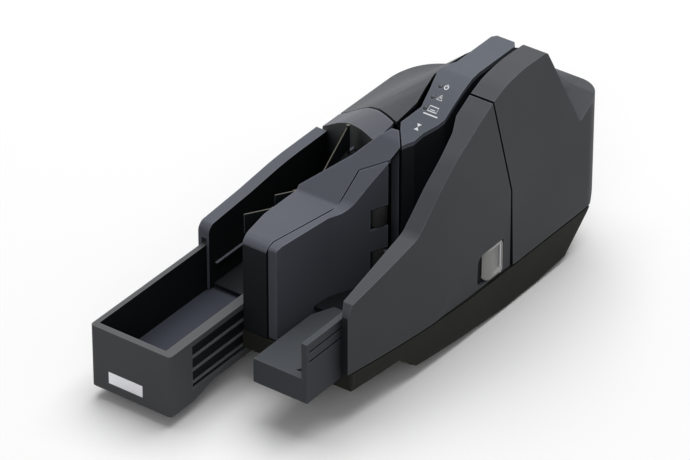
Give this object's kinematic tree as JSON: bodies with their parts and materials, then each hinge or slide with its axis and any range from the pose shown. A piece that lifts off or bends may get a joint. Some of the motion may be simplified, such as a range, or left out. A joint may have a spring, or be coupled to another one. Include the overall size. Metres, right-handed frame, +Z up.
{
  "type": "cheque scanner",
  "caption": "Desktop cheque scanner with a swing-out right cover, lift-up left cover, sliding exit pocket tray, sliding feeder, roller path round a centre column and a belt drive.",
  "frame": {"origin": "on the table, under the middle of the machine as it stands with its tray pulled out", "axes": "+Z up; +Y points to the rear, so -Y is the operator's side with tray and feeder; +X is the latch side"},
  "size_m": [0.16, 0.352, 0.1774],
  "materials": {
    "grey_plastic": "satin moulded",
    "side_plastic": "satin moulded, dark grey",
    "roof_plastic": "satin moulded",
    "base_plastic": "matt, dark olive grey",
    "panel_plastic": "satin moulded, light grey",
    "tray_plastic": "fine texture",
    "dark_plastic": "matt black",
    "latch_plastic": "satin light grey",
    "feeder_plastic": "fine texture",
    "rubber": "matt",
    "steel": "ground",
    "sheet_steel": "zinc plated",
    "brass": "sintered",
    "label_metal": "bare satin",
    "lens": "clear white",
    "sensor_glass": "polished",
    "board": "green laminate",
    "gear_plastic": "white nylon"
  },
  "bodies": {
    "case": {"base_case": "base_plastic", "rubber_feet": "rubber", "plate_screws": "steel", "mechanism_plate": "sheet_steel", "shaft_bushes": "brass", "motor_body": "steel", "drive_belt": "rubber", "column_body": "dark_plastic", "indicator_panel": "panel_plastic", "indicator_lenses": "lens", "inner_sensor": "dark_plastic", "inner_sensor_glass": "sensor_glass", "magnetic_head": "steel", "divider_cover": "grey_plastic", "feeder_guide": "grey_plastic", "feeder_floor": "dark_plastic", "slot_floor": "dark_plastic", "turn_guide": "dark_plastic", "pocket_wall": "grey_plastic", "pocket_floor": "dark_plastic", "rear_cover": "side_plastic", "outer_sensor": "dark_plastic", "outer_sensor_glass": "sensor_glass", "socket_board": "board", "power_inlet": "dark_plastic", "data_socket": "steel", "main_board": "board", "left_hinge_pin": "steel", "right_hinge_pin": "steel", "path_guide": "dark_plastic", "exit_pinch_pin": "steel", "cartridge_holder": "dark_plastic", "ink_cartridge": "dark_plastic"},
    "tray": {"pocket_tray": "tray_plastic", "label_plate": "label_metal"},
    "extension": {"feeder_extension": "feeder_plastic"},
    "right_cover": {"right_cover": "side_plastic", "pinch_pin": "steel", "latch_pin": "steel", "pusher_bracket": "dark_plastic"},
    "pinch": {"pinch_roller": "rubber"},
    "latch": {"cover_latch": "latch_plastic"},
    "pusher": {"pusher_plate": "dark_plastic"},
    "left_cover": {"left_cover": "roof_plastic"},
    "exit_pinch": {"exit_pinch_roller": "rubber"},
    "jack": {"drive_gear_shaft": "steel", "drive_gear": "gear_plastic"},
    "pinion": {"motor_pinion": "gear_plastic"},
    "pick": {"pick_shaft": "steel", "pick_roller": "rubber"},
    "drive": {"drive_shaft": "steel", "drive_roller": "rubber"},
    "rear": {"rear_shaft": "steel", "rear_roller": "rubber"},
    "exit": {"exit_shaft": "steel", "exit_roller": "rubber"},
    "rear_leaf": {"rear_leaf": "dark_plastic"},
    "front_leaf": {"front_leaf": "dark_plastic"},
    "middle_leaf": {"middle_leaf": "dark_plastic"},
    "power_button": {"power_button": "dark_plastic"}
  },
  "joints": [
    {"name": "tray_slide", "type": "slide", "parent": "case", "child": "tray", "axis": [0, 1, 0], "range_m": [0, 0.071]},
    {"name": "extension_slide", "type": "slide", "parent": "case", "child": "extension", "axis": [0, 1, 0], "range_m": [0, 0.034]},
    {"name": "right_cover_hinge", "type": "hinge", "parent": "case", "child": "right_cover", "pos_m": [0.0717, -0.0992, 0.0481], "axis": [0, 0, -1], "range_deg": [0, 40]},
    {"name": "left_cover_hinge", "type": "hinge", "parent": "case", "child": "left_cover", "pos_m": [-0.0776, 0.12, 0.0311], "axis": [0, -1, 0], "range_deg": [0, 35]},
    {"name": "latch_hinge", "type": "hinge", "parent": "right_cover", "child": "latch", "pos_m": [0.0782, 0.057, 0.0431], "axis": [0, 0, 1], "range_deg": [0, 25], "stiffness_Nm_per_rad": 0.02},
    {"name": "pusher_hinge", "type": "hinge", "parent": "right_cover", "child": "pusher", "pos_m": [0.0636, -0.05, 0.0731], "axis": [0, 0, 1], "range_deg": [0, 15], "stiffness_Nm_per_rad": 0.02},
    {"name": "rear_leaf_hinge", "type": "hinge", "parent": "case", "child": "rear_leaf", "pos_m": [-0.02, 0.0232, 0.1131], "axis": [0, 0, -1], "range_deg": [0, 20], "stiffness_Nm_per_rad": 0.002},
    {"name": "front_leaf_hinge", "type": "hinge", "parent": "case", "child": "front_leaf", "pos_m": [-0.02, -0.058, 0.0981], "axis": [0, 0, -1], "range_deg": [0, 30], "stiffness_Nm_per_rad": 0.002},
    {"name": "middle_leaf_hinge", "type": "hinge", "parent": "case", "child": "middle_leaf", "pos_m": [-0.02, -0.0346, 0.0981], "axis": [0, 0, -1], "range_deg": [0, 30], "stiffness_Nm_per_rad": 0.002},
    {"name": "power_button_press", "type": "slide", "parent": "case", "child": "power_button", "axis": [0, -1, 0], "range_m": [0, 0.0012], "stiffness_N_per_m": 300},
    {"name": "drive_gear_turn", "type": "hinge", "parent": "case", "child": "jack", "pos_m": [0.014, 0.046, 0.0581], "axis": [0, 0, 1], "continuous": true},
    {"name": "motor_turn", "type": "hinge", "parent": "case", "child": "pinion", "pos_m": [-0.01, 0.046, 0.0581], "axis": [0, 0, 1], "continuous": true},
    {"name": "pick_turn", "type": "hinge", "parent": "case", "child": "pick", "pos_m": [0.0275, -0.0105, 0.0581], "axis": [0, 0, 1], "continuous": true},
    {"name": "drive_turn", "type": "hinge", "parent": "case", "child": "drive", "pos_m": [0.0495, 0.048, 0.0581], "axis": [0, 0, 1], "continuous": true},
    {"name": "rear_turn", "type": "hinge", "parent": "case", "child": "rear", "pos_m": [0.0445, 0.0945, 0.0581], "axis": [0, 0, 1], "continuous": true},
    {"name": "exit_turn", "type": "hinge", "parent": "case", "child": "exit", "pos_m": [0.0405, 0.024, 0.0581], "axis": [0, 0, 1], "continuous": true},
    {"name": "pinch_turn", "type": "hinge", "parent": "right_cover", "child": "pinch", "pos_m": [0.06265, 0.048, 0.0581], "axis": [0, 0, 1], "continuous": true},
    {"name": "exit_pinch_turn", "type": "hinge", "parent": "case", "child": "exit_pinch", "pos_m": [0.03077, 0.02945, 0.0581], "axis": [0, 0, 1], "continuous": true}
  ],
  "couplings": [
    {"joint": "motor_turn", "follows": "drive_gear_turn", "ratio": -3},
    {"joint": "pick_turn", "follows": "drive_gear_turn", "ratio": 1},
    {"joint": "drive_turn", "follows": "drive_gear_turn", "ratio": 1},
    {"joint": "rear_turn", "follows": "drive_gear_turn", "ratio": 1},
    {"joint": "exit_turn", "follows": "drive_gear_turn", "ratio": 1},
    {"joint": "pinch_turn", "follows": "drive_gear_turn", "ratio": -1.1667},
    {"joint": "exit_pinch_turn", "follows": "drive_gear_turn", "ratio": -1.2}
  ]
}
